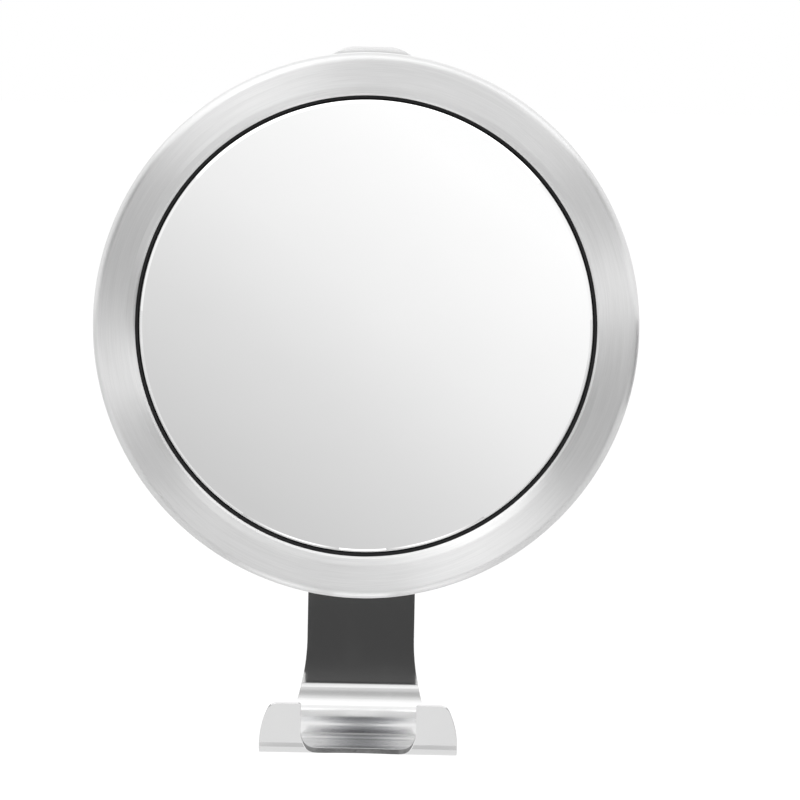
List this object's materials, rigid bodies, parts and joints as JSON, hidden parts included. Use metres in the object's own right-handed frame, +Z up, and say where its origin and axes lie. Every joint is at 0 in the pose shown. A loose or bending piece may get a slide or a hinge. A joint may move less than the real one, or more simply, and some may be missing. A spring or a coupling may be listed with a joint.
{
  "type": "shower mirror",
  "caption": "Round fogless shower mirror in a brushed ring, on a ball joint in front of a steel wall strap that curls into a notched razor hook.",
  "frame": {"origin": "on the wall, at the back face of the adhesive pad, straight behind the middle of the mirror", "axes": "+Y into the wall, -Y out towards the user, +Z up, +X to the user's right"},
  "size_m": [0.15, 0.0352, 0.1941],
  "materials": {
    "polished_steel": "mirror-polished stainless steel",
    "brushed_steel": "spun brushed stainless steel",
    "plain_steel": "satin stainless hardware",
    "silvered_glass": "silvered glass with a polished bevel",
    "black_plastic": "fine-textured moulding",
    "plated_plastic": "bright chrome-plated ABS moulding",
    "white_nylon": "natural nylon",
    "black_rubber": "matte rubber",
    "white_foam": "closed-cell foam tape"
  },
  "bodies": {
    "wall_strap": {"hook_strap": "polished_steel", "adhesive_pad": "white_foam", "lock_washer": "plain_steel", "ball_stud": "polished_steel", "stud_screw": "plain_steel"},
    "pan_liner": {"socket_liner": "white_nylon"},
    "tilt_seat": {"pressure_seat": "white_nylon"},
    "mirror_head": {"retaining_nut": "plain_steel", "wave_washer": "plain_steel", "socket_cup": "black_plastic", "hub_screw_1": "plain_steel", "hub_screw_2": "plain_steel", "hub_screw_3": "plain_steel", "bezel_ring": "brushed_steel", "mirror_glass": "silvered_glass", "mirror_gasket": "black_rubber", "backing_foam": "white_foam", "mirror_tray": "black_plastic", "rear_cover": "plated_plastic", "cover_seal": "black_rubber", "cover_screw_1": "plain_steel", "cover_screw_2": "plain_steel", "cover_screw_3": "plain_steel", "cover_screw_4": "plain_steel"}
  },
  "joints": [
    {"name": "head_pan", "type": "hinge", "parent": "wall_strap", "child": "pan_liner", "pos_m": [0, -0.014, 0], "axis": [0, 0, 1], "range_deg": [-10, 10]},
    {"name": "head_tilt", "type": "hinge", "parent": "pan_liner", "child": "tilt_seat", "pos_m": [0, -0.014, 0], "axis": [1, 0, 0], "range_deg": [-10, 10]},
    {"name": "head_spin", "type": "hinge", "parent": "tilt_seat", "child": "mirror_head", "pos_m": [0, -0.014, 0], "axis": [0, 1, 0], "continuous": true}
  ]
}
